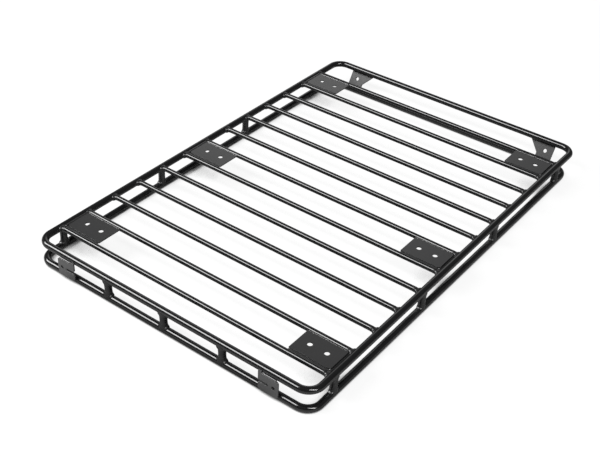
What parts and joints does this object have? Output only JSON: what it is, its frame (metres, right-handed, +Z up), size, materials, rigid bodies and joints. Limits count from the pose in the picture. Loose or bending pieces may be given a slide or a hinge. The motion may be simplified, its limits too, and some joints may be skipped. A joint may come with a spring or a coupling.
{
  "type": "vehicle roof rack",
  "caption": "Rigid welded roof rack: two stacked loops of bent steel tube joined by short posts, with crossbars, bolt-on deck plates and mounting tabs.",
  "frame": {"origin": "bottom centre of the whole rack, on the surface under its lower loop", "axes": "+X to the right side, +Y to the rear, +Z up"},
  "size_m": [1.1694, 1.7824, 0.0999],
  "materials": {
    "gloss_tube": "gloss black powder coat",
    "satin_plate": "satin black powder coat"
  },
  "bodies": {
    "root": {"upper_loop_front": "gloss_tube", "upper_loop_rear": "gloss_tube", "lower_loop_front": "gloss_tube", "lower_loop_rear": "gloss_tube", "crossbar_01": "gloss_tube", "crossbar_02": "gloss_tube", "crossbar_03": "gloss_tube", "crossbar_04": "gloss_tube", "crossbar_05": "gloss_tube", "crossbar_06": "gloss_tube", "crossbar_07": "gloss_tube", "crossbar_08": "gloss_tube", "crossbar_09": "gloss_tube", "crossbar_10": "gloss_tube", "crossbar_11": "gloss_tube", "crossbar_12": "gloss_tube", "crossbar_13": "gloss_tube", "post_front_1": "gloss_tube", "post_front_2": "gloss_tube", "post_front_3": "gloss_tube", "post_front_4": "gloss_tube", "post_front_5": "gloss_tube", "post_left_1": "gloss_tube", "post_left_2": "gloss_tube", "post_left_3": "gloss_tube", "post_left_4": "gloss_tube", "post_right_1": "gloss_tube", "post_right_2": "gloss_tube", "post_right_3": "gloss_tube", "post_right_4": "gloss_tube", "deck_plate_front_left": "satin_plate", "deck_plate_front_right": "satin_plate", "deck_plate_middle_left": "satin_plate", "deck_plate_middle_right": "satin_plate", "deck_plate_rear_left": "satin_plate", "deck_plate_rear_right": "satin_plate", "front_tab_left": "satin_plate", "front_tab_right": "satin_plate", "rear_bracket_left": "satin_plate", "rear_bracket_right": "satin_plate"}
  },
  "joints": []
}
